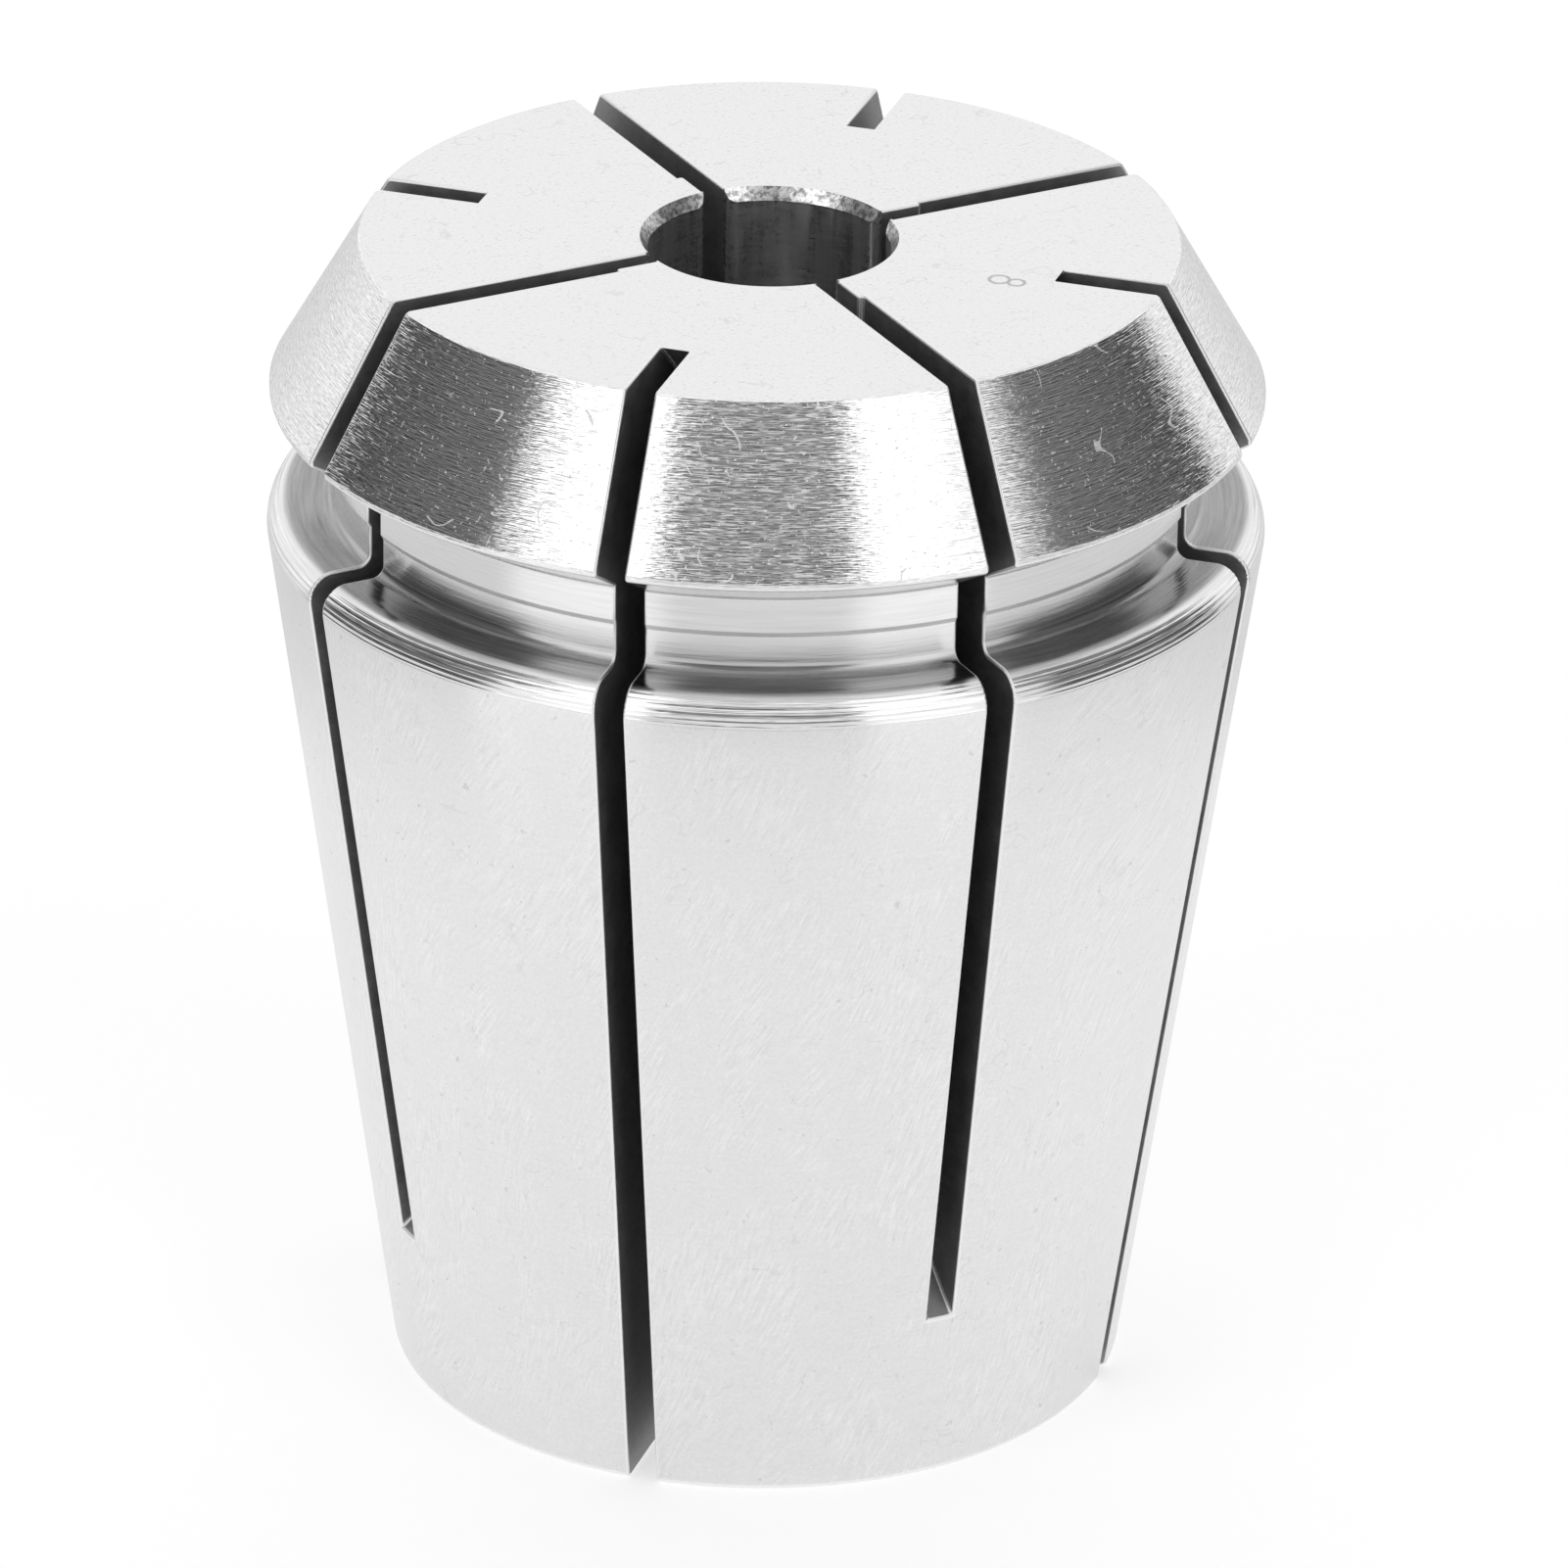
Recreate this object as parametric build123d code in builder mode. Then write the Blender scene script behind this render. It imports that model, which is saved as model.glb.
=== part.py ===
from build123d import *

import os
from math import cos, radians, sqrt, tan

# Tapping collet of the 33 x 40 mm size: one turned, drilled and sawn piece of spring steel.
# Millimetres and degrees. The collet's axis is Z, its rear face lies on z = 0 and its front
# face, where the tool goes in, looks along +Z. The front slots lie on +X, +Y, -X and -Y.

# Outside
LENGTH = 40.0
BODY_DIAMETER = 33.0  # widest turn of the long taper, at its shoulder edge
BODY_TAPER = 8.0  # side of the long taper, from the axis
REAR_EDGE_BREAK = 0.12
SHOULDER_HEIGHT = 30.8  # rear face to the shoulder below the nut's groove
SHOULDER_EDGE_RADIUS = 0.9
GROOVE_DEPTH = 2.1  # below the widest turn of the body
GROOVE_ROOT_RADIUS = 0.4
RELIEF_DEPTH = 0.1  # the groove's floor is a little deeper beside the shoulder
RELIEF_WIDTH = 1.45
FLANGE_DIAMETER = 32.8
FLANGE_HEIGHT = 34.65  # rear face to the lower edge of the flange's land
LAND_WIDTH = 0.22
UNDERCUT_ANGLE = 30.0  # flange's underside, from a flat face
NUT_TAPER = 30.0  # front cone that the nut presses on, from the axis
RIM_EDGE_BREAK = 0.08

# Inside
BORE_DIAMETER = 8.0  # grips the tool's round shank
MOUTH_DEPTH = 0.43
MOUTH_TAPER = 30.0  # countersink at the bore's mouth, from the axis
SQUARE_WIDTH = 6.2  # drives the square at the tool's end
SQUARE_DEPTH = 18.0  # rear face to the end of the round bore
SQUARE_EDGE_BREAK = 0.3
SQUARE_EDGE_TAPER = 45.0
DRILL_POINT_TAPER = 60.0  # floor of the round bore, from the axis

# Saw cuts: four slots come in from each end
SLOTS_PER_END = 4
SAW_DIAMETER = 40.0
SLOT_WIDTH = 0.95
FRONT_SLOT_END = 6.2  # rear face to the end of a front slot, on the long taper
FRONT_SLOT_REACH = 5.75  # axis to the deepest line of the wide front cut
SLIT_WIDTH = 0.75  # narrower cut that opens a front slot into the bore
SLIT_REACH = 2.0
SLIT_END = 18.4  # rear face to where a slit's floor meets the bore
SLIT_CORNER_RADIUS = 0.35  # where slit and bore meet
REAR_SLOT_WEB = 9.95  # axis to the end of a rear slot, on the front face
REAR_SLOT_REACH = 2.0

TOUCH = 1e-4  # two points closer than this are the same point

# Sizes that follow
body_slope = tan(radians(BODY_TAPER))
shoulder_corner = BODY_DIAMETER / 2 + SHOULDER_EDGE_RADIUS * (
    1 / cos(radians(BODY_TAPER)) + body_slope - 1
)
rear_radius = shoulder_corner - body_slope * SHOULDER_HEIGHT
groove_radius = BODY_DIAMETER / 2 - GROOVE_DEPTH
relief_radius = groove_radius - RELIEF_DEPTH
relief_top = SHOULDER_HEIGHT + RELIEF_WIDTH
flange_radius = FLANGE_DIAMETER / 2
undercut_rise = (flange_radius - groove_radius) * tan(radians(UNDERCUT_ANGLE))
cone_start = FLANGE_HEIGHT + LAND_WIDTH
front_radius = flange_radius - (LENGTH - cone_start) * tan(radians(NUT_TAPER))
bore_radius = BORE_DIAMETER / 2
mouth_radius = bore_radius + MOUTH_DEPTH * tan(radians(MOUTH_TAPER))
drill_point = bore_radius / tan(radians(DRILL_POINT_TAPER))
saw_radius = SAW_DIAMETER / 2
slot_pitch = 360 / SLOTS_PER_END
half_pitch = slot_pitch / 2


def saw_drop(reach, radius):
    """Height from the saw's centre to its rim, `radius` from the axis, if the rim comes to `reach`."""
    return sqrt(saw_radius**2 - (reach + saw_radius - radius) ** 2)


# Where the saw's centre stops in each cut. A front slot ends on the long taper, its slit runs out
# near the foot of the round bore, and a rear slot ends on the front face, short of the bore.
front_slot_stop = FRONT_SLOT_END + saw_drop(
    FRONT_SLOT_REACH, rear_radius + body_slope * FRONT_SLOT_END
)
slit_stop = SLIT_END + saw_drop(SLIT_REACH, bore_radius)
rear_slot_stop = LENGTH - saw_drop(REAR_SLOT_REACH, REAR_SLOT_WEB)


def saw_cut(reach, stop, feed, width, side):
    """What a saw of this width sweeps while its centre comes in along Z and halts at `stop`.

    `feed` is 1 from the front and -1 from the rear, and `side` places the width on the plane."""
    travel = LENGTH + SAW_DIAMETER
    with BuildPart() as cut:
        with BuildSketch(Plane.XZ.offset(side)):
            with Locations((reach + saw_radius, stop)):
                Circle(saw_radius)
            with Locations((reach + saw_radius, stop + feed * travel / 2)):
                Rectangle(SAW_DIAMETER, travel)
        extrude(amount=width)
    return cut.part


# The turned blank: one half section, spun round the axis.
with BuildPart() as collet:
    with BuildSketch(Plane.XZ) as section:
        with BuildLine():
            Polyline(
                (0, 0),
                (rear_radius, 0),
                (shoulder_corner, SHOULDER_HEIGHT),
                (relief_radius, SHOULDER_HEIGHT),
                (relief_radius, relief_top),
                (groove_radius, relief_top),
                (groove_radius, FLANGE_HEIGHT - undercut_rise),
                (flange_radius, FLANGE_HEIGHT),
                (flange_radius, cone_start),
                (front_radius, LENGTH),
                (0, LENGTH),
                close=True,
            )
        make_face()
        corners = section.vertices()
        shoulder_edge = corners.sort_by_distance((shoulder_corner, SHOULDER_HEIGHT))[0]
        groove_root = corners.sort_by_distance((relief_radius, SHOULDER_HEIGHT))[0]
        rear_edge = corners.sort_by_distance((rear_radius, 0))[0]
        rim = corners.sort_by_distance((front_radius, LENGTH))[0]
        fillet(shoulder_edge, SHOULDER_EDGE_RADIUS)
        fillet(groove_root, GROOVE_ROOT_RADIUS)
        chamfer(rear_edge, REAR_EDGE_BREAK)
        chamfer(rim, RIM_EDGE_BREAK)
    revolve(axis=Axis.Z)

    # Round bore.
    with BuildSketch(Plane.XY.offset(SQUARE_DEPTH)):
        Circle(bore_radius)
    extrude(amount=LENGTH - SQUARE_DEPTH, mode=Mode.SUBTRACT)

    # Mouths of the four slits, with the corners rounded where they open into the bore.
    with BuildSketch(Plane.XY.offset(SLIT_END)) as mouths:
        Circle(bore_radius)
        with PolarLocations(0, SLOTS_PER_END):
            with Locations((0, -SLOT_WIDTH / 2)):
                Rectangle(FRONT_SLOT_REACH, SLIT_WIDTH, align=(Align.MIN, Align.MIN))
        mouth_corners = mouths.vertices().filter_by(
            lambda corner: abs(corner.center().length - bore_radius) < TOUCH
        )
        fillet(mouth_corners, SLIT_CORNER_RADIUS)
    extrude(amount=LENGTH - SLIT_END, mode=Mode.SUBTRACT)

    # Countersunk mouth, and the drill's cone at the bore's other end.
    with Locations((0, 0, LENGTH - MOUTH_DEPTH)):
        Cone(
            bore_radius, mouth_radius, MOUTH_DEPTH, align=(Align.CENTER, Align.CENTER, Align.MIN),
            mode=Mode.SUBTRACT,
        )
    with Locations((0, 0, SQUARE_DEPTH - drill_point)):
        Cone(
            0, bore_radius, drill_point, align=(Align.CENTER, Align.CENTER, Align.MIN),
            mode=Mode.SUBTRACT,
        )

    # Square socket, its corners towards the rear slots.
    with BuildSketch():
        Rectangle(SQUARE_WIDTH, SQUARE_WIDTH)
    extrude(amount=SQUARE_DEPTH, mode=Mode.SUBTRACT)
    with BuildSketch():
        Rectangle(SQUARE_WIDTH + 2 * SQUARE_EDGE_BREAK, SQUARE_WIDTH + 2 * SQUARE_EDGE_BREAK)
    extrude(amount=SQUARE_EDGE_BREAK, taper=SQUARE_EDGE_TAPER, mode=Mode.SUBTRACT)

    # Front slots with their slits, then the rear slots between them.
    front_cut = saw_cut(FRONT_SLOT_REACH, front_slot_stop, 1, SLOT_WIDTH, -SLOT_WIDTH / 2)
    slit_cut = saw_cut(SLIT_REACH, slit_stop, 1, SLIT_WIDTH, SLOT_WIDTH / 2 - SLIT_WIDTH)
    rear_cut = saw_cut(REAR_SLOT_REACH, rear_slot_stop, -1, SLOT_WIDTH, -SLOT_WIDTH / 2)
    with PolarLocations(0, SLOTS_PER_END):
        add([front_cut, slit_cut], mode=Mode.SUBTRACT)
    with PolarLocations(0, SLOTS_PER_END, start_angle=half_pitch):
        add(rear_cut, mode=Mode.SUBTRACT)

collet.part.label = "collet"
os.makedirs("parts", exist_ok=True)
export_step(collet.part, "parts/collet.step")
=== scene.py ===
import math

import bmesh
import bpy
import numpy as np
from mathutils import Matrix, Vector


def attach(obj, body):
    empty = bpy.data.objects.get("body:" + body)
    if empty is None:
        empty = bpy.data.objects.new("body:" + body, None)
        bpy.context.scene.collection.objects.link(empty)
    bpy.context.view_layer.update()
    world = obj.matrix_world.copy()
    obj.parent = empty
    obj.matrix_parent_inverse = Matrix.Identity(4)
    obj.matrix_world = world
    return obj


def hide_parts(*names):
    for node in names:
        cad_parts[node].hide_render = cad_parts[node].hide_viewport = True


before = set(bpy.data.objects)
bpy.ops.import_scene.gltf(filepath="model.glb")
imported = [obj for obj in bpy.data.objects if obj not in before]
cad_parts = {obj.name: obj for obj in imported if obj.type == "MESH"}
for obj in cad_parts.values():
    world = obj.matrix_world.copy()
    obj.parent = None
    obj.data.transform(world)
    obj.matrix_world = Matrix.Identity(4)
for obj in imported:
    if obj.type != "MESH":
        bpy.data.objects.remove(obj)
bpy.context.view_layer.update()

# The collet: one bar of spring steel, turned outside, drilled and countersunk in front, broached
# square behind, and sawn four times from each end so that it can close on a tool. Sizes are in
# millimetres, round ones by radius; Z is the axis, up from the rear face; front slots lie on X, Y.
MM = 0.001
LENGTH = 40.0
BODY_RADIUS = 16.5  # widest turn of the long taper, at its shoulder edge
BODY_LEAN = math.radians(8)  # side of the long taper, from the axis
REAR_CHAMFER = 0.12
SHOULDER = 30.8  # height of the shoulder under the nut's groove
SHOULDER_ROUND = 0.9
GROOVE = 14.4
RELIEF = 14.3  # the groove is a little deeper beside the shoulder
RELIEF_TOP = 32.25
STEP_BELOW, STEP_ABOVE = 0.14, 0.04  # where the ramp to the groove starts and ends, from that
ROOT_ROUND = 0.4
FLANGE = 16.4
FLANGE_FOOT = 34.65
LAND_TOP = 34.87
NUT_LEAN = math.radians(30)  # front cone, groove's upper flank and bore's mouth
RIM_CHAMFER = 0.08
BORE = 4.0
MOUTH_FOOT = 39.57
SQUARE = 3.1  # half the width of the square socket
SQUARE_CHAMFER = 0.3
SQUARE_TOP = 18.0
DRILL_LEAN = math.radians(60)  # the drill's point, from the axis
SAW = 20.0
HALF_CUT = 0.475  # half the width of the wide cuts and the rear cuts
SLIT_SIDE = 0.275  # the slit's wall that isn't in line with the wide cut's
CORNER_ROUND = 0.35  # corners where a slit opens into the bore

# How near to the axis each saw comes, and where its cut runs out: the wide front cut on the
# taper, its slit into the bore, and the rear cut on the front face.
WIDE_REACH, SLIT_REACH, REAR_REACH = 5.75, 2.0, 2.0
WIDE_END, SLIT_END, REAR_END = 6.2, 18.4, 9.95

taper, steep = math.tan(BODY_LEAN), math.tan(NUT_LEAN)
arc_r, arc_z = BODY_RADIUS - SHOULDER_ROUND, SHOULDER - SHOULDER_ROUND
rear = arc_r + SHOULDER_ROUND / math.cos(BODY_LEAN) - taper * arc_z
rim = FLANGE - (LENGTH - LAND_TOP) * steep
mouth = BORE + (LENGTH - MOUTH_FOOT) * steep


def saw_floor(z, reach, stop, way):
    """Distance from the axis to a cut's floor: the saw's rim past its last centre, else a line.

    way is 1 for a saw that came in from the front and -1 for one that came from the rear."""
    drop = np.clip((stop - z) * way, 0, None)
    return reach + SAW - np.sqrt(SAW**2 - drop**2)


def saw_height(t, reach):
    """Height from a saw's last centre to the point of its rim that is t from the axis."""
    return np.sqrt(SAW**2 - (reach + SAW - t) ** 2)


wide_stop = WIDE_END + saw_height(rear + taper * WIDE_END, WIDE_REACH)
slit_stop = SLIT_END + saw_height(BORE, SLIT_REACH)
rear_stop = LENGTH - saw_height(REAR_END, REAR_REACH)


def slot_end(y):
    """Height where the wide cut runs out on the taper, y off its middle.

    Each height gives the taper's radius, that the saw's circle, and that the next height."""
    z = np.full_like(y, WIDE_END)
    for _ in range(20):
        z = wide_stop - saw_height(np.sqrt((rear + taper * z) ** 2 - y**2), WIDE_REACH)
    return z


# Seven coarse rings are left by the tool on the rounded shoulder edge. The rounding's radius dips
# along its arc, by RING_DEPTH times a wave of the arc's angle that is a little uneven and carries
# a finer wave; it fades in and out at the ends.
RING_DEPTH = 0.02
RING_WAVES, RING_SHARE = 33, 0.38
FINE_WAVES, FINE_SHARE = 71, 0.12
UNEVEN_WAVES, UNEVEN = 4, 0.9
RINGS_FROM, FADE_IN, RINGS_TO, FADE_OUT = -0.13, 0.1, 1.15, 0.2
sweep = np.linspace(-BODY_LEAN, math.pi / 2, 121)[1:]
ring_wave = np.cos(RING_WAVES * sweep + UNEVEN * np.sin(UNEVEN_WAVES * sweep))
ripple = 0.5 - RING_SHARE * ring_wave - FINE_SHARE * np.cos(FINE_WAVES * sweep)
fade_in = np.clip((sweep - RINGS_FROM) / FADE_IN, 0, 1)
fade_out = np.clip((RINGS_TO - sweep) / FADE_OUT, 0, 1)
ringed = SHOULDER_ROUND - RING_DEPTH * (fade_in * fade_out) * ripple

# Turned outline from the rear face to the front face, as rows of radius and height. Rows part way
# along the straight runs keep their faces short: in from the rounding on the shoulder, up relief
# and groove, and in from the flange's edge on its flank.
SHOULDER_ROWS, RELIEF_ROW, GROOVE_ROW, FLANK_ROW = (0.3, 0.6), 31.7, 32.9, 1.0
end_row = 6  # the row at the front slots' end
end_z = float(slot_end(np.array([HALF_CUT]))[0])
body_foot = np.linspace(REAR_CHAMFER * math.cos(BODY_LEAN), end_z, end_row)
body_side = np.linspace(end_z, arc_z - SHOULDER_ROUND * math.sin(BODY_LEAN), 22)[1:]
body_z = np.concatenate([body_foot, body_side])
root = np.linspace(0, math.pi / 2, 8)
cone_share = np.linspace(0, 1, 14)
cone_r = FLANGE + (rim + RIM_CHAMFER * 0.5 - FLANGE) * cone_share
cone_z = LAND_TOP + (LENGTH - RIM_CHAMFER * math.cos(NUT_LEAN) - LAND_TOP) * cone_share
root_r = RELIEF + ROOT_ROUND * (1 - np.sin(root))
root_z = SHOULDER + ROOT_ROUND * (1 - np.cos(root))
outline = np.concatenate([
    [[rear - REAR_CHAMFER, 0]],
    np.stack([rear + taper * body_z, body_z], 1),
    np.stack([arc_r + ringed * np.cos(sweep), arc_z + ringed * np.sin(sweep)], 1),
    [[arc_r - inset, SHOULDER] for inset in SHOULDER_ROWS],
    np.stack([root_r, root_z], 1),
    [[RELIEF, RELIEF_ROW], [RELIEF, RELIEF_TOP - STEP_BELOW]],
    [[GROOVE, RELIEF_TOP + STEP_ABOVE], [GROOVE, GROOVE_ROW]],
    [[GROOVE, FLANGE_FOOT - (FLANGE - GROOVE) * steep]],
    [[FLANGE - FLANK_ROW, FLANGE_FOOT - FLANK_ROW * steep], [FLANGE, FLANGE_FOOT]],
    np.stack([cone_r, cone_z], 1),
    [[rim - RIM_CHAMFER, LENGTH]],
])

GROUND, TURNED, GROOVED, SAWN, BORED, BROKEN = range(6)  # finishes, in the material slots' order
points, faces, finishes = [], [], []


def add(place, corners, finish):
    """Adds a patch: its points, its faces' corners counted from 0, and each face's finish."""
    start = sum(map(len, points))
    points.append(place.reshape(-1, 3))
    faces.extend((corners + start).tolist())
    finishes.extend(finish)


def grid(place, finish):
    """Quads between neighbouring points of a rows-by-columns array, of one finish or one a row."""
    rows, columns = place.shape[:2]
    corner = (np.arange(rows - 1)[:, None] * columns + np.arange(columns - 1)).ravel()
    quads = np.stack([corner, corner + 1, corner + columns + 1, corner + columns], 1)
    finish = np.broadcast_to(np.reshape(finish, (-1, 1)), (rows - 1, columns - 1))
    add(place, quads, finish.ravel())


def plate(finish, *runs):
    """One flat face whose closed outline is these runs of points, end to end."""
    edge = np.concatenate([np.reshape(run, (-1, 3)) for run in runs])
    add(edge, np.arange(len(edge))[None], [finish])


def beside(turn, t, y, z):
    """Points in a slot's own directions: t out from the axis along it, y across it, z up."""
    t, y, z = np.broadcast_arrays(t, y, z)
    x, y = t * np.cos(turn) - y * np.sin(turn), t * np.sin(turn) + y * np.cos(turn)
    return np.stack([x, y, z], -1)


def around(r, azimuth, z):
    """Points on a circle of radius r at height z."""
    r, azimuth, z = np.broadcast_arrays(r, azimuth, z)
    return np.stack([r * np.cos(azimuth), r * np.sin(azimuth), z], -1)


def along(r, y):
    """Distance out along a slot of the point that is r from the axis and y off its middle."""
    return np.sqrt(r**2 - y**2)


# Rows of points across and down each cut. The heights are those at which the cuts meet the bore,
# and the one at which the slit's floor crosses the wide cut's: there both saws are at one radius.
SLIT_COLUMNS = (-0.2, 0.05)  # two columns between the slit's walls
quarter, eighth = math.pi / 2, math.pi / 4
wide_y = np.array([-HALF_CUT, *SLIT_COLUMNS, SLIT_SIDE, HALF_CUT])
slit_y = wide_y[:4]
rear_y = np.linspace(-HALF_CUT, HALF_CUT, 5)
down = np.linspace(0, 1, 17)[:, None]
slit_foot = slit_stop - saw_height(along(BORE, slit_y), SLIT_REACH)
rear_top = rear_stop + saw_height(along(BORE, rear_y), REAR_REACH)
centre_gap = np.array([WIDE_REACH - SLIT_REACH, wide_stop - slit_stop])
half_gap = math.hypot(*centre_gap) / 2
cross_z = (slit_stop + wide_stop) / 2
cross_z = cross_z - math.sqrt(SAW**2 - half_gap**2) * centre_gap[0] / (2 * half_gap)
slit_z = slit_foot * (1 - down) + cross_z * down
slit_t = saw_floor(slit_z, SLIT_REACH, slit_stop, 1)
upper_z = np.concatenate([[LENGTH], np.linspace(wide_stop, cross_z, 9)])
upper_z = upper_z[:, None] + 0 * wide_y[3:]
upper_t = saw_floor(upper_z, WIDE_REACH, wide_stop, 1)
ends = slot_end(wide_y)
wide_z = cross_z * (1 - down) + ends * down
wide_t = saw_floor(wide_z, WIDE_REACH, wide_stop, 1)
rear_z = LENGTH * (1 - down) + rear_top * down
rear_t = saw_floor(rear_z, REAR_REACH, rear_stop, -1)

# Rounded corners where a slit opens into the bore: a point of the rounding is known by the angle
# at its centre, counted from the bore side; the mouth's cone takes the top off the near part.
MOUTH_ROWS = 5
mouth_r = np.linspace(BORE, mouth, MOUTH_ROWS)
centre_r = BORE + CORNER_ROUND


def corner_round(side, wall):
    """x, y and top height round one corner; side is -1 or 1 and wall is the slit wall's y."""
    centre_y = wall + side * CORNER_ROUND
    centre_x = math.sqrt(centre_r**2 - centre_y**2)
    near_cosine = (centre_r**2 + CORNER_ROUND**2 - mouth_r**2) / (2 * centre_r * CORNER_ROUND)
    near = np.arccos(np.clip(near_cosine, -1, 1))
    last = math.acos(abs(centre_y) / centre_r)
    angle = np.concatenate([near, np.linspace(near[-1], last, 4)[1:]])
    inward = math.atan2(-centre_y, -centre_x)
    x = centre_x + CORNER_ROUND * np.cos(inward + side * angle)
    y = centre_y + CORNER_ROUND * np.sin(inward + side * angle)
    top = np.minimum(LENGTH, MOUTH_FOOT + (np.hypot(x, y) - BORE) / steep)
    return x, y, top


near_x, near_y, near_top = corner_round(1, SLIT_SIDE)
far_x, far_y, far_top = corner_round(-1, -HALF_CUT)
near_start, far_start = math.atan2(near_y[0], near_x[0]), math.atan2(far_y[0], far_x[0])

# Azimuths round the bore from rear cut to rear cut, and the ledge that the drill's point leaves
# round the square: its height falls with the distance from the bore's wall.
rear_edge_angle = eighth - math.asin(HALF_CUT / BORE)
near_az = np.linspace(near_start, rear_edge_angle, 18)
far_az = np.linspace(-rear_edge_angle, far_start, 17)
slit_az = np.concatenate([[far_start], np.arctan2(slit_y, along(BORE, slit_y)), [near_start]])
slit_top = np.concatenate([[slit_foot[0]], slit_foot, [slit_foot[-1]]])
web_az = eighth + np.arctan2(rear_y, along(BORE, rear_y))[1:-1]
bore_az = np.concatenate([near_az, web_az, quarter + far_az])
bore_share = (bore_az - bore_az[0]) / (bore_az[-1] - bore_az[0])
ledge_az = np.concatenate([far_az[:-1], slit_az, near_az[1:]])
ledge_half = SQUARE - HALF_CUT * math.sqrt(2)
ledge_y = ledge_half * np.sin(ledge_az) / math.sin(rear_edge_angle)
ledge_z = SQUARE_TOP - (BORE - np.hypot(SQUARE, ledge_y)) / math.tan(DRILL_LEAN)
chamfered = SQUARE + SQUARE_CHAMFER
corner_t = SQUARE * math.sqrt(2) - HALF_CUT
chamfer_t = chamfered * math.sqrt(2) - HALF_CUT
chamfer_y = chamfered - HALF_CUT * math.sqrt(2)

LEAF_COLUMNS = 44
r, z = outline.T
row_height = (z[1:] + z[:-1]) / 2
front_finish = np.where(row_height < FLANGE_FOOT, GROOVED, TURNED)
row_finish = np.where(row_height < arc_z, GROUND, front_finish)
half_slot = np.arcsin(HALF_CUT / r)[:, None]
share = np.linspace(0, 1, LEAF_COLUMNS)


def leaf(cut):
    """Outside of the leaf from the cut at this azimuth to the next, an eighth of a turn on.

    Each row starts and stops half a cut's width from the cuts' middles."""
    azimuth = cut + half_slot + (eighth - 2 * half_slot) * share
    return around(r[:, None], azimuth, z[:, None])


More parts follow.
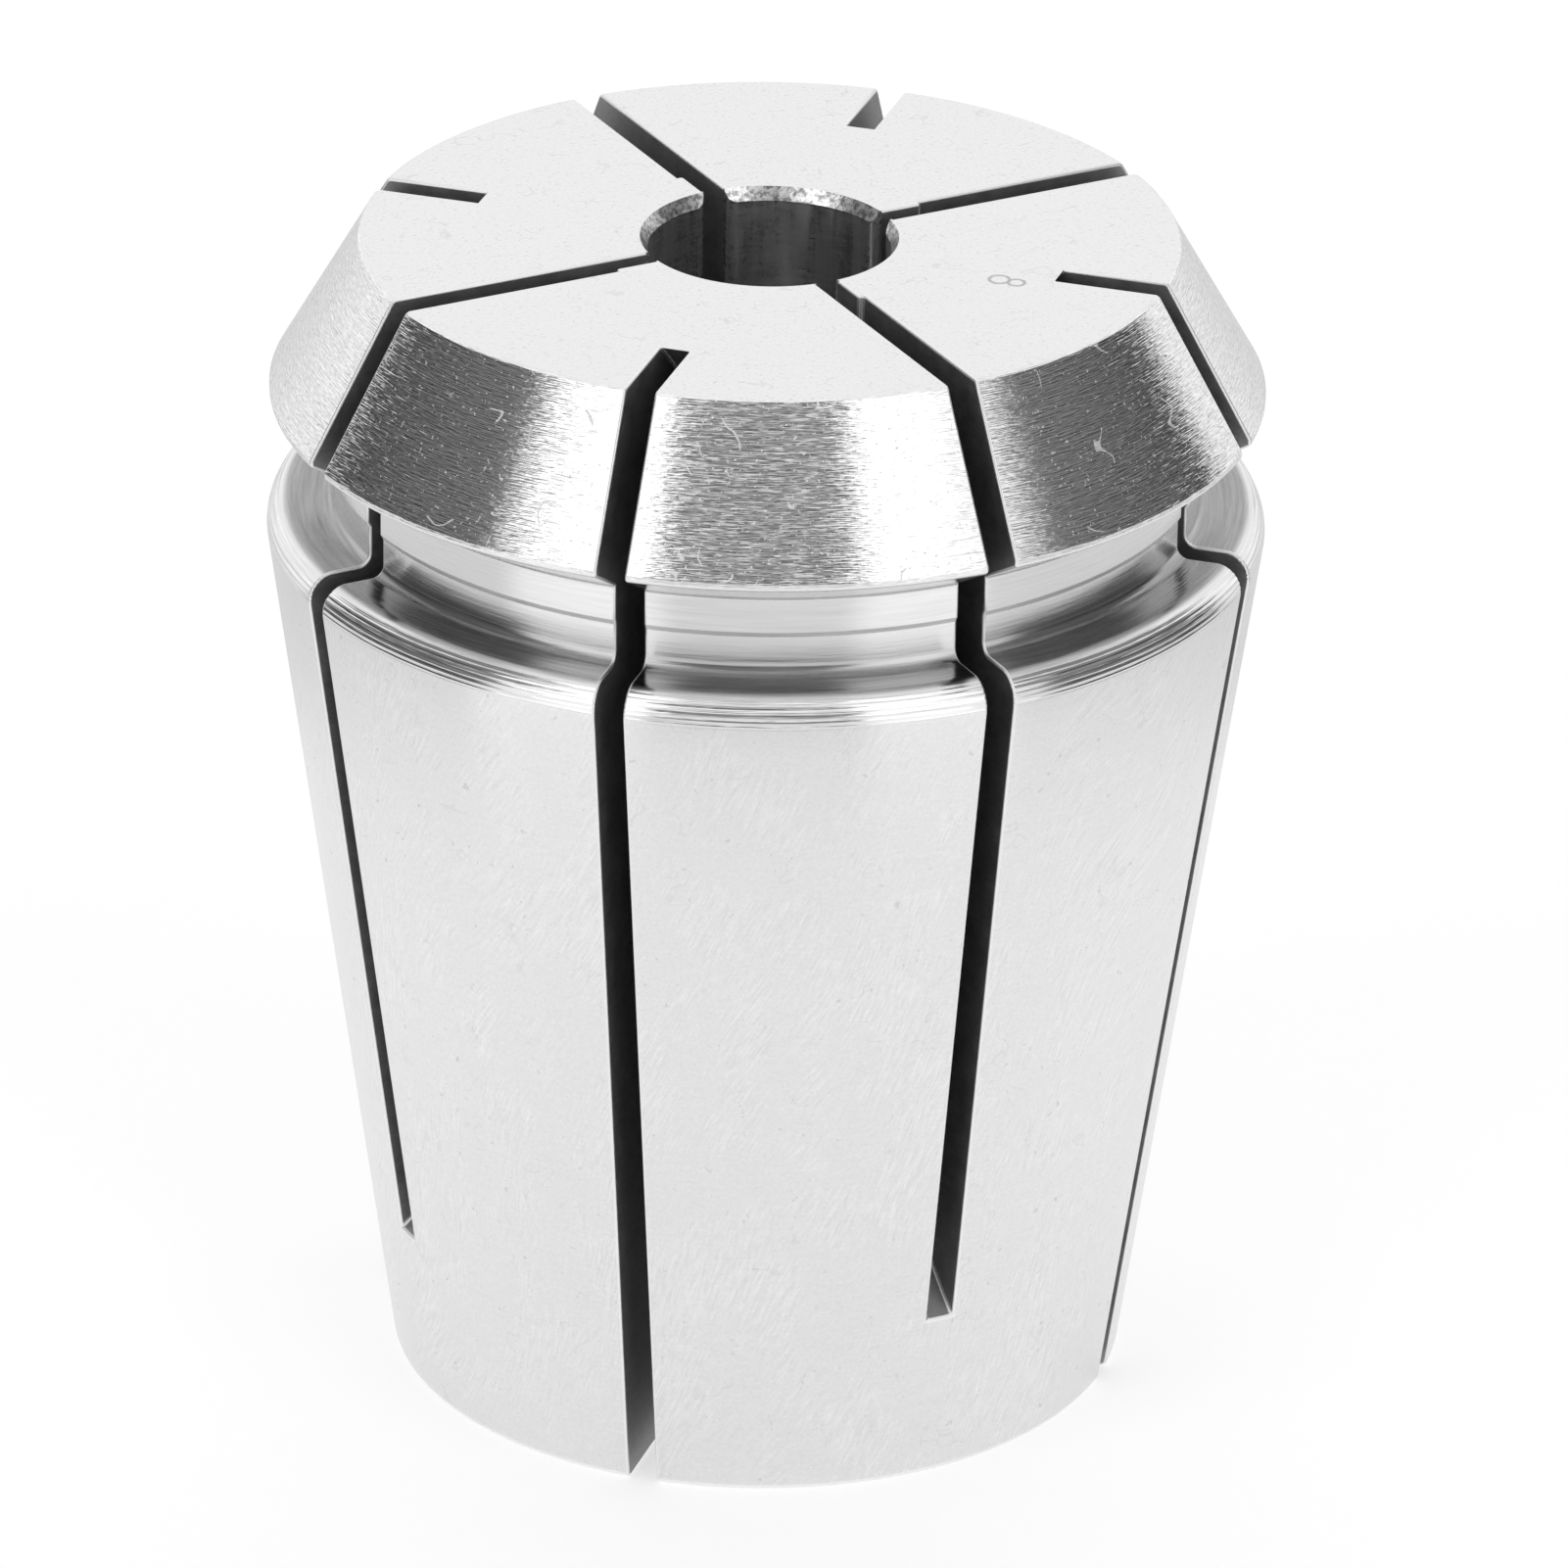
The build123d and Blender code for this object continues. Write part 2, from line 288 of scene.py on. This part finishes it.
for quadrant in range(4):
    turn = quadrant * quarter
    middle, after = turn + eighth, turn + quarter
    first, second, before = leaf(turn), leaf(middle), leaf(turn - eighth)
    grid(first, row_finish)
    grid(second, row_finish)

    # Taper behind the front slot's end, then the floors of wide cut, slit and rear cut.
    strip_z = np.concatenate([np.repeat(z[:end_row, None], len(wide_y), 1), ends[None]])
    strip_r = np.concatenate([r[:end_row], [rear + taper * end_z]])[:, None] + 0 * wide_y
    strip_r[-1] = rear + taper * ends
    strip = beside(turn, along(strip_r, wide_y), wide_y, strip_z)
    grid(strip, GROUND)
    grid(beside(turn, upper_t, wide_y[3:], upper_z), SAWN)
    grid(beside(turn, wide_t, wide_y, wide_z), SAWN)
    grid(beside(turn, slit_t, slit_y, slit_z), SAWN)
    grid(beside(middle, rear_t, rear_y, rear_z), SAWN)

    # Bore between the cuts, its rounded corners, and its countersunk mouth.
    heights = np.array([SQUARE_TOP, slit_foot[-1], rear_top[0], MOUTH_FOOT])[:, None]
    grid(around(BORE, turn + near_az, heights), BORED)
    heights = np.array([SQUARE_TOP, slit_foot[0], rear_top[0], MOUTH_FOOT])[:, None]
    grid(around(BORE, after + far_az, heights), BORED)
    slit_rows = [around(BORE, turn + slit_az, height) for height in (SQUARE_TOP, slit_top)]
    grid(np.stack(slit_rows), BORED)
    web_t = along(BORE, rear_y)
    web_rows = [beside(middle, web_t, rear_y, height) for height in (rear_top, MOUTH_FOOT)]
    grid(np.stack(web_rows), BORED)
    near_heights = (slit_foot[-1], rear_top[0], near_top)
    near_rows = [beside(turn, near_x, near_y, height) for height in near_heights]
    far_heights = (slit_foot[0], rear_top[0], far_top)
    far_rows = [beside(turn, far_x, far_y, height) for height in far_heights]
    grid(np.stack(near_rows), BORED)
    grid(np.stack(far_rows), BORED)
    near_corner = near_rows[-1]
    far_corner = beside(after, far_x, far_y, far_top)
    plate(BORED, near_rows[0], beside(turn, along(BORE, SLIT_SIDE), SLIT_SIDE, slit_foot[-1]))
    plate(BORED, far_rows[0], beside(turn, along(BORE, HALF_CUT), -HALF_CUT, slit_foot[0]))
    mouth_z = (MOUTH_FOOT + (mouth_r - BORE) / steep)[:, None]
    from_az = (turn + np.arctan2(near_y, near_x)[:MOUTH_ROWS])[:, None]
    to_az = (after + np.arctan2(far_y, far_x)[:MOUTH_ROWS])[:, None]
    mouth_cone = around(mouth_r[:, None], from_az + (to_az - from_az) * bore_share, mouth_z)
    grid(mouth_cone, BORED)

    # Ledge where the drill stopped, the broached wall below it and its chamfered edge.
    inner = beside(turn, SQUARE, ledge_y, ledge_z)
    grid(np.stack([around(BORE, turn + ledge_az, SQUARE_TOP), inner]), BORED)
    wall_foot = beside(turn, SQUARE, np.array([ledge_y[-1], ledge_y[0]]), SQUARE_CHAMFER)
    plate(BORED, inner, wall_foot)
    chamfer_foot = beside(turn, chamfered, np.array([chamfer_y, -chamfer_y]), 0.0)
    grid(np.stack([wall_foot, chamfer_foot]), BORED)

    # Rear face and front face.
    plate(TURNED, chamfer_foot, before[0], strip[0, 1:-1], first[0])
    plate(
        TURNED,
        first[-1],
        beside(middle, REAR_END, rear_y, LENGTH),
        second[-1],
        far_corner[MOUTH_ROWS - 1 :][::-1],
        mouth_cone[-1][::-1][1:-1],
        near_corner[MOUTH_ROWS - 1 :],
        beside(turn, WIDE_REACH, np.array([SLIT_SIDE, HALF_CUT]), LENGTH),
    )

    # Flat walls of the cuts.
    plate(
        SAWN,
        beside(turn, upper_t[:-1, 1], HALF_CUT, upper_z[:-1, 1]),
        beside(turn, wide_t[:-1, 4], HALF_CUT, wide_z[:-1, 4]),
        first[end_row:, 0],
    )
    plate(
        SAWN,
        beside(turn, near_x[-1], SLIT_SIDE, np.array([LENGTH, rear_top[0], slit_foot[-1]])),
        beside(turn, slit_t[:, 3], SLIT_SIDE, slit_z[:, 3]),
        beside(turn, upper_t[:, 0], SLIT_SIDE, upper_z[:, 0])[::-1][1:],
    )
    plate(
        SAWN,
        beside(turn, far_x[-1], -HALF_CUT, np.array([LENGTH, rear_top[0], slit_foot[0]])),
        beside(turn, slit_t[:, 0], -HALF_CUT, slit_z[:, 0]),
        beside(turn, wide_t[1:-1, 0], -HALF_CUT, wide_z[1:-1, 0]),
        before[end_row:, -1],
    )
    bore_t = along(BORE, HALF_CUT)
    for side, leaf_edge, foot in (
        (-HALF_CUT, first[:, -1], slit_foot[-1]),
        (HALF_CUT, second[:, 0], slit_foot[0]),
    ):
        plate(
            SAWN,
            beside(middle, rear_t[:, 0], side, rear_z[:, 0]),
            beside(middle, bore_t, side, np.array([foot, SQUARE_TOP])),
            beside(middle, corner_t, side, np.array([ledge_z[0], SQUARE_CHAMFER])),
            beside(middle, chamfer_t, side, 0.0),
            leaf_edge,
        )

# The patches share the points along their edges, and those are merged.
SAME_POINT = 0.0004 * MM
mesh = bpy.data.meshes.new("sawn_collet")
mesh.from_pydata(np.concatenate(points) * MM, [], faces)
mesh.polygons.foreach_set("material_index", np.array(finishes, np.int32))
shape = bmesh.new()
shape.from_mesh(mesh)
bmesh.ops.remove_doubles(shape, verts=shape.verts, dist=SAME_POINT)
bmesh.ops.recalc_face_normals(shape, faces=shape.faces)
shape.to_mesh(mesh)
shape.free()

# Edges that the file and the wheel break: their two faces meet at more than this angle, and they
# lie farther from the axis than the bore's mouth and its corners. Loops sorted by edge come in
# pairs, one for each of the two faces.
BROKEN_ANGLE, BROKEN_FROM = math.radians(35), 4.9 * MM


def read(elements, name, width, kind):
    """One property of all of a mesh's elements as an array, with width numbers in a row."""
    values = np.empty(len(elements) * width, kind)
    elements.foreach_get(name, values)
    return values.reshape(-1, width)


edge_of_loop = read(mesh.loops, "edge_index", 1, np.int32).ravel()
loop_count = read(mesh.polygons, "loop_total", 1, np.int32).ravel()
face_of_loop = np.repeat(np.arange(len(mesh.polygons)), loop_count)
pair = face_of_loop[np.argsort(edge_of_loop, kind="stable")].reshape(-1, 2)
normals = read(mesh.polygons, "normal", 3, np.float32)
edge_ends = read(mesh.edges, "vertices", 2, np.int32)
halfway = read(mesh.vertices, "co", 3, np.float32)[edge_ends].mean(1)
creased = (normals[pair[:, 0]] * normals[pair[:, 1]]).sum(1) < math.cos(BROKEN_ANGLE)
broken = creased & (np.hypot(halfway[:, 0], halfway[:, 1]) > BROKEN_FROM)
weight = mesh.attributes.new("bevel_weight_edge", "FLOAT", "EDGE")
weight.data.foreach_set("value", broken.astype(np.float32))
collet = bpy.data.objects.new("sawn_collet", mesh)
bpy.context.scene.collection.objects.link(collet)


class Wire:
    """An output socket; arithmetic on it adds Math nodes to its own node tree."""

    def __init__(self, tree, socket):
        self.tree, self.socket = tree, socket

    def put(self, kind, settings=None, sockets=None, out=0):
        """Adds a node: its settings, then its sockets' values or links, and gives an output."""
        node = self.tree.nodes.new(kind)
        for name, value in (settings or {}).items():
            setattr(node, name, value)
        for name, value in (sockets or {}).items():
            if isinstance(value, Wire):
                self.tree.links.new(value.socket, node.inputs[name])
            else:
                node.inputs[name].default_value = value
        return Wire(self.tree, node.outputs[out])

    def other(self, name):
        """Another output of the same node."""
        return Wire(self.tree, self.socket.node.outputs[name])

    def math(self, operation, *others):
        """A Math node with this signal as its first input."""
        values = dict(enumerate((self,) + others))
        return self.put("ShaderNodeMath", {"operation": operation}, values)

    def ramp(self, low, high):
        """0 below low, 1 above high, and smooth between."""
        return self.put(
            "ShaderNodeMapRange",
            {"interpolation_type": "SMOOTHSTEP"},
            {"Value": self, "From Min": low, "From Max": high},
        )

    def within(self, low, low_end, high_start, high):
        """1 from low_end to high_start, 0 outside low to high, and smooth between."""
        return self.ramp(low, low_end) * (1 - self.ramp(high_start, high))

    def blend(self, other, share):
        """This signal where share is 0 and the other one where it is 1."""
        return self + (other - self) * share

    def __add__(self, other):
        return self.math("ADD", other)

    __radd__ = __add__

    def __sub__(self, other):
        return self.math("SUBTRACT", other)

    def __rsub__(self, other):
        return self.math("MULTIPLY_ADD", -1.0, other)

    def __mul__(self, other):
        return self.math("MULTIPLY", other)

    __rmul__ = __mul__

    def __truediv__(self, other):
        return self.math("DIVIDE", other)

    def __pow__(self, other):
        return self.math("POWER", other)


def metal(name, drawn_out=None):
    """A new steel: the material, its shader, and the place on the piece in millimetres.

    drawn_out is how far highlights are drawn out across marks that lie round the axis."""
    material = bpy.data.materials.new(name)
    material.use_nodes = True
    tree = material.node_tree
    shader = tree.nodes["Principled BSDF"]
    shader.inputs["Metallic"].default_value = 1
    if drawn_out:
        shader.inputs["Anisotropic"].default_value = drawn_out
        shader.inputs["Anisotropic Rotation"].default_value = 0.25
    place = Wire(tree, None).put("ShaderNodeTexCoord", out="Object")
    place = place.put("ShaderNodeVectorMath", {"operation": "SCALE"}, {0: place, "Scale": 1 / MM})
    return material, shader, place


def noise(place, ripples, detail=2.0, rough=0.5):
    """Noise from 0 to 1 with so many ripples to the millimetre along the three directions."""
    stretched = {0: place, 1: ripples}
    stretched = place.put("ShaderNodeVectorMath", {"operation": "MULTIPLY"}, stretched)
    sockets = {"Vector": stretched, "Scale": 1.0, "Detail": detail, "Roughness": rough}
    return place.put("ShaderNodeTexNoise", {"noise_dimensions": "3D"}, sockets, out="Fac")


def feed(tree, shader, **signals):
    """Links signals to the shader's sockets; a socket's name is given with _ for a space."""
    for name, signal in signals.items():
        tree.links.new(signal.socket, shader.inputs[name.replace("_", " ")])


def wound_round(place):
    """The place with height less radius as its third coordinate, and the height on its own.

    Noise that is long in x and y and short in the third lies round the axis, as a lathe's marks
    do: height less radius changes on tapers, groove and flat faces alike."""
    parts = place.put("ShaderNodeSeparateXYZ", sockets={0: place}, out="X")
    x, y, height = parts, parts.other("Y"), parts.other("Z")
    across = height - (x * x + y * y) ** 0.5
    return place.put("ShaderNodeCombineXYZ", sockets={0: x, 1: y, 2: across}), height


def grey(shade):
    """A neutral colour of this shade."""
    return shade.put("ShaderNodeCombineColor", sockets={0: shade, 1: shade, 2: shade})


def relief(height):
    """Bump whose height is given in millimetres."""
    sockets = {"Strength": 1.0, "Distance": MM, "Height": height}
    return height.put("ShaderNodeBump", sockets=sockets, out="Normal")


def hairs(place, size, thin, few):
    """Mask of short thin curved lines: where one noise passes 0.5, cut short by another noise.

    size is a bend's and thin the line's width, in millimetres; a larger few leaves fewer lines."""
    winding = noise(place, (1 / size, 1 / size, 1 / size), 1.0)
    line = 1 - (winding - 0.5).math("ABSOLUTE").ramp(0.5 * thin / size, thin / size)
    return line * noise(place, (0.9 / size, 1.1 / size, 0.8 / size), 0.0).ramp(few, few + 0.03)


# Long taper: ground, so nearly plain, with faint clouding, hair-fine marks and a few scuffs. Fine
# strokes of the polishing cloth lie in patches on a slight helix: the noise is turned round the
# axis by an angle that falls with height and wavers.
HELIX_TURN, HELIX_WAVER = -0.03, 0.5
ground_steel, shader, place = metal("ground_steel", 0.4)
wound, height = wound_round(place)
cloud = noise(place, (0.45, 0.45, 0.3), 3.0, 0.6)
fine = noise(wound, (1.0, 1.0, 10.0), 2.0, 0.6)
twist = height * HELIX_TURN + HELIX_WAVER * (noise(place, (0.1, 0.1, 0.06), 0.0) - 0.5)
helix = {"Vector": place, "Angle": twist}
helix = place.put("ShaderNodeVectorRotate", {"rotation_type": "Z_AXIS"}, helix)
strokes = noise(helix, (11.0, 11.0, 0.2), 1.0) - 0.5
grain = noise(place, (9.0, 9.0, 9.0), 1.0) - 0.5
speck = noise(place, (2.6, 2.6, 2.6), 2.0, 0.6).ramp(0.68, 0.76)
scuff = hairs(place, 1.3, 0.018, 0.62)
shade = 0.86 + 0.05 * (cloud - 0.5) + 0.05 * (fine - 0.5) + 0.11 * grain
shade = shade + 0.22 * strokes * cloud.ramp(0.4, 0.6) - 0.1 * speck - 0.045 * scuff
feed(
    ground_steel.node_tree,
    shader,
    Base_Color=grey(shade),
    Roughness=0.22 + 0.06 * (cloud - 0.5) + 0.06 * (fine - 0.5) + 0.2 * speck,
    Normal=relief(fine * 0.0008 - scuff * 0.001),
)

# Front cone, land and front face: turned bright. The tool's feed marks lie round the cone, torn
# into short streaks, with sparkling specks and a few hair-like scratches. The front face is
# smooth, with a few pits and scuffs.
turned_steel, shader, place = metal("turned_steel", 0.3)
wound, height = wound_round(place)
on_front = height.ramp(39.95, 39.99)
on_cone = 1 - on_front
streaks = noise(wound, (1.1, 1.1, 16.0), 0.5, 0.5)
chatter = noise(wound, (3.2, 3.2, 20.0), 0.5, 0.5)
grain = noise(place, (8.0, 8.0, 8.0), 1.0, 0.5)
speck = noise(place, (2.6, 2.6, 2.6), 2.0, 0.6).ramp(0.66, 0.74)
pits = noise(place, (5.0, 8.0, 8.0), 1.0, 0.5).ramp(0.64, 0.7)
sparkle = noise(place, (9.0, 9.0, 9.0), 1.0, 0.5).ramp(0.67, 0.72)
scuff = hairs(place, 1.1, 0.018, 0.575)
scratch = hairs(place, 1.5, 0.017, 0.63)

# A plain etched 8, the bore's size in millimetres, from two circles: each has a distance from
# the axis and a radius, and the line is where the distance from the circle's centre is its radius.
MARK_CIRCLES = ((8.83, 0.27), (8.23, 0.33))
MARK_AZIMUTH = math.radians(-52)
MARK_LINE, MARK_LINE_EDGE = 0.045, 0.075  # half the line's width, and where it has faded out
size_mark = 0 * height
for mark_r, circle in MARK_CIRCLES:
    mark_x, mark_y = mark_r * math.cos(MARK_AZIMUTH), mark_r * math.sin(MARK_AZIMUTH)
    to_x, to_y = height.other("X") - mark_x, height.other("Y") - mark_y
    from_centre = (to_x**2 + to_y**2) ** 0.5
    line = 1 - (from_centre - circle).math("ABSOLUTE").ramp(MARK_LINE, MARK_LINE_EDGE)
    size_mark = size_mark.math("MAXIMUM", line * on_front)
front_shade = 0.875 - 0.1 * speck - 0.12 * pits - 0.08 * scuff + 0.12 * (grain - 0.5)
front_shade = front_shade - 0.32 * size_mark
cone_shade = 0.89 + 0.25 * (streaks - 0.5) + 0.6 * (chatter - 0.5)
cone_relief = streaks * 0.017 + chatter * 0.01 + grain * 0.0012
feed(
    turned_steel.node_tree,
    shader,
    Base_Color=grey(cone_shade.blend(front_shade, on_front)),
    Roughness=0.12 + 0.08 * on_front + 0.25 * size_mark + 0.45 * (scratch + sparkle) * on_cone,
    Normal=relief(cone_relief * on_cone + (grain * 0.0025) * on_front),
)

# Nut's groove with its shoulder and ring-marked edge: turned with a round-nosed tool. Its root has
# a dark band of painted shade that fades up the wall above it; the step in its floor is rough, and
# the edge's rings are bright.
grooved_steel, shader, place = metal("grooved_steel", 0.6)
wound, height = wound_round(place)
lines = noise(wound, (0.3, 0.3, 7.0), 3.0, 0.6)
fine = noise(wound, (0.8, 0.8, 11.0), 1.0, 0.6)
in_root = height.within(30.7, 30.79, 30.82, 31.3)
on_rings = 1 - height.ramp(30.6, 30.75)
on_step = height.within(32.08, 32.12, 32.28, 32.32)
unshaded = height.ramp(31.0, 32.3).math("MAXIMUM", 1 - height.ramp(30.6, 30.8))
# The turning lines show in the colour, most on the rings, where their strong contrast is partly
# painted highlight and shade.
contrast = 0.3 + 0.6 * in_root + 0.5 * on_rings
# The colour is darker in the root and on the wall just above it: painted shade.
shade = (0.88 + lines * contrast - 0.5 * contrast) * (1 - 0.52 * in_root) * (0.84 + 0.16 * unshaded)
rough = (0.2 + 0.2 * (lines - 0.5) + 0.1 * (fine - 0.5)) * (1 - 0.45 * on_rings)
line_depth = 0.004 + 0.012 * (1 - on_rings) * in_root + 0.012 * on_rings
feed(
    grooved_steel.node_tree,
    shader,
    Base_Color=grey(shade),
    Roughness=rough + 0.4 * on_step,
    Normal=relief(lines * line_depth + fine * 0.0012),
)

# Sawn faces of the cuts: dull, with the saw's fine scratches along the cut.
sawn_steel, shader, place = metal("sawn_steel")
scratch = noise(place, (2.0, 2.0, 9.0), 3.0, 0.6)
grime = noise(place, (1.2, 1.2, 1.2), 4.0, 0.65)
feed(
    sawn_steel.node_tree,
    shader,
    Base_Color=grey(0.36 + 0.2 * (grime - 0.5) + 0.15 * (scratch - 0.5)),
    Roughness=0.5 + 0.2 * (grime - 0.5),
    Normal=relief(scratch * 0.002),
)

# Drilled bore, broached square and countersunk mouth: grey steel, streaked along the bore and
# mottled at the mouth.
bored_steel, shader, place = metal("bored_steel")
wound, height = wound_round(place)
on_mouth = height.ramp(39.5, 39.6)
rings = noise(wound, (1.0, 1.0, 7.0), 3.0, 0.65)
drawn = noise(place, (3.0, 3.0, 0.25), 3.0, 0.6)
mottle = noise(place, (4.5, 4.5, 4.5), 3.0, 0.65)
shade = 0.78 + 0.3 * (drawn - 0.5) + 0.15 * (rings - 0.5)
feed(
    bored_steel.node_tree,
    shader,
    Base_Color=grey(shade.blend(0.35 + 0.9 * mottle.ramp(0.35, 0.65), on_mouth)),
    Roughness=0.3 + 0.2 * (rings - 0.5) + 0.3 * (drawn - 0.5),
    Normal=relief(rings * 0.003 + drawn * 0.002 + mottle * (0.02 * on_mouth)),
)

# Edges of cuts, flange and faces, broken with a file and rough enough to shine all round. Their
# near-white colour is a painted highlight along the edges. The bevel that breaks them takes this
# finish, and its width is in millimetres.
broken_edge_highlight, shader, _ = metal("broken_edge_highlight")
# Near-white colour: a painted highlight on the broken edges.
shader.inputs["Base Color"].default_value = (0.97, 0.97, 0.97, 1)
shader.inputs["Roughness"].default_value = 0.45

for finish in (ground_steel, turned_steel, grooved_steel, sawn_steel, bored_steel, broken_edge_highlight):
    mesh.materials.append(finish)
EDGE_BREAK = 0.09
SHARP_ANGLE = math.radians(25)
mesh.polygons.foreach_set("use_smooth", np.ones(len(mesh.polygons), bool))
mesh.set_sharp_from_angle(angle=SHARP_ANGLE)
bevel = collet.modifiers.new("edge_break", "BEVEL")
bevel.width = EDGE_BREAK * MM
bevel.segments = 2
bevel.limit_method = "WEIGHT"
bevel.use_clamp_overlap = False
bevel.harden_normals = True
bevel.material = BROKEN
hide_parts("collet")
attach(collet, "root")

# Studio floor: a pale sheet that keeps the collet's soft shadow. What the camera and the steel see
# of it is partly its own glow, so that it reads as white; from below it is clear. Sizes here and
# below are in metres and degrees, and azimuths are counted in the room from X.
FLOOR_HALF, FLOOR_Z = 1.4, -0.00002
FLOOR_PAINT, CAMERA_GLOW = 0.46, 0.66
NEAR_GLOW, FAR_GLOW, PANEL_GLOW = 0.56, 0.37, 0.25  # what the steel sees of it
SHADE_PAINT, SHADE_GLOW = 0.36, 0.8  # what is taken off in front of the dark screens
WHITE_SECTORS = ((-79.5, 15, 5), (-162, 19, 5))  # azimuth, half width and soft edge
DARK_SECTORS = ((-24.5, 27, 6), (151.5, 27, 6))
width = np.linspace(-FLOOR_HALF, FLOOR_HALF, 3)
flat = np.stack(np.meshgrid(width, width, [FLOOR_Z], indexing="ij"), -1).reshape(-1, 3)
corner = np.array([0, 1, 3, 4])
floor_mesh = bpy.data.meshes.new("floor")
floor_faces = np.stack([corner, corner + 3, corner + 4, corner + 1], 1)
floor_mesh.from_pydata(flat, [], floor_faces.tolist())
floor = bpy.data.objects.new("floor", floor_mesh)
bpy.context.scene.collection.objects.link(floor)
paper = bpy.data.materials.new("floor_paper")
paper.use_nodes = True
paper.cycles.emission_sampling = "NONE"
tree = paper.node_tree
tree.nodes.remove(tree.nodes["Principled BSDF"])
start = Wire(tree, None)
to_camera = start.put("ShaderNodeLightPath", out="Is Camera Ray")
to_steel = to_camera.other("Is Glossy Ray")
spot = start.put("ShaderNodeTexCoord", out="Object")
x = start.put("ShaderNodeSeparateXYZ", sockets={0: spot}, out="X")
y = x.other("Y")
away = (x * x + y * y) ** 0.5 + 1e-6


def sector(x, y, away, azimuth, half_width, soft):
    """1 within half_width degrees of an azimuth and 0 outside, soft by that many degrees."""
    turn, half, edge = math.radians(azimuth), math.radians(half_width), math.radians(soft)
    facing = (x * math.cos(turn) + y * math.sin(turn)) / away
    return facing.ramp(math.cos(half + edge), math.cos(max(half - edge, 0)))


whites = sector(x, y, away, *WHITE_SECTORS[0]) + sector(x, y, away, *WHITE_SECTORS[1])
darks = sector(x, y, away, *DARK_SECTORS[0]) + sector(x, y, away, *DARK_SECTORS[1])
mirrored = NEAR_GLOW + (FAR_GLOW + PANEL_GLOW * whites - NEAR_GLOW) * away.ramp(0.045, 0.06)
shaded = to_steel * darks * away.ramp(0.11, 0.18)
strength = CAMERA_GLOW * to_camera + mirrored * to_steel * (1 - SHADE_GLOW * shaded)
glow = start.put("ShaderNodeEmission", sockets={"Strength": strength})
paint = grey(FLOOR_PAINT - SHADE_PAINT * shaded)
matt = start.put("ShaderNodeBsdfDiffuse", sockets={"Color": paint})
lit = start.put("ShaderNodeAddShader", sockets={0: glow, 1: matt})
under = start.put("ShaderNodeNewGeometry", out="Backfacing")
clear = start.put("ShaderNodeBsdfTransparent")
seen = start.put("ShaderNodeMixShader", sockets={0: under, 1: lit, 2: clear})
tree.links.new(seen.socket, tree.nodes["Material Output"].inputs["Surface"])
floor_mesh.materials.append(paper)

# Studio: a pale room with two soft white panels in front, a grey gap between them behind the
# camera, and a dark screen on either side that gives bright steel its contrast.
ROOM = 0.96
PANEL_EDGE = 8  # how soft a panel is at foot and head

# The gap, the panels and the screens by azimuth, half width, soft edge, lowest and highest
# elevation, light at the foot, light at the head, and the elevation that has the head's light.
PANELS = (
    (-119.5, 25, 2, 12, 62, 0.045, 0.46, 62),
    (-79.5, 14, 2, 12, 60, 1.4, 1.4, 60),
    (-162, 18, 2, 12, 60, 1.4, 1.4, 60),
    (-24.5, 27, 3, -6, 60, 0.015, 0.25, 46),
    (151.5, 27, 3, -6, 60, 0.012, 0.23, 46),
)
world = bpy.data.worlds.new("studio")
bpy.context.scene.world = world
world.use_nodes = True
tree = world.node_tree
back = tree.nodes["Background"]
back.inputs["Color"].default_value = (1, 1, 1, 1)
start = Wire(tree, None)
towards = start.put("ShaderNodeTexCoord", out="Generated")
x = start.put("ShaderNodeSeparateXYZ", sockets={0: towards}, out="X")
y, rise = x.other("Y"), x.other("Z")
level_out = (x * x + y * y) ** 0.5 + 1e-4


def climb(low, high):
    """0 below one elevation and 1 above the other, as seen from the collet."""
    return rise.ramp(math.sin(math.radians(low)), math.sin(math.radians(high)))


light = ROOM + 0 * rise
for azimuth, half_width, soft, low, high, foot, head, full in PANELS:
    across = sector(x, y, level_out, azimuth, half_width, soft)
    above_foot = climb(low - PANEL_EDGE, low + PANEL_EDGE)
    below_head = 1 - climb(high - PANEL_EDGE, high + PANEL_EDGE)
    graded = foot + (head - foot) * climb(low, full)
    light = light.blend(graded, across * (above_foot * below_head))
to_camera = start.put("ShaderNodeLightPath", out="Is Camera Ray")
feed(tree, back, Strength=light.blend(1.0, to_camera))

# Camera on the collet's front left, looking down at it with a long lens.
DISTANCE, CAMERA_Z = 0.3768, 0.1985
FOCAL_PIXELS, FRAME_PIXELS = 12734.6, 1601
pitch, pan, roll, bearing = (math.radians(angle) for angle in (25.33, 0.109, 0.77, -27.5))
stand = Matrix.Rotation(bearing, 4, "Z") @ Vector((0, -DISTANCE, CAMERA_Z))
lens = bpy.data.cameras.new("camera")
lens.sensor_width = 36
lens.lens = FOCAL_PIXELS * lens.sensor_width / FRAME_PIXELS
camera = bpy.data.objects.new("camera", lens)
bpy.context.scene.collection.objects.link(camera)
camera.matrix_world = (
    Matrix.Translation(stand)
    @ Matrix.Rotation(bearing - pan, 4, "Z")
    @ Matrix.Rotation(math.pi / 2 - pitch, 4, "X")
    @ Matrix.Rotation(roll, 4, "Z")
)
bpy.context.scene.camera = camera
bpy.context.scene.view_settings.view_transform = "Standard"
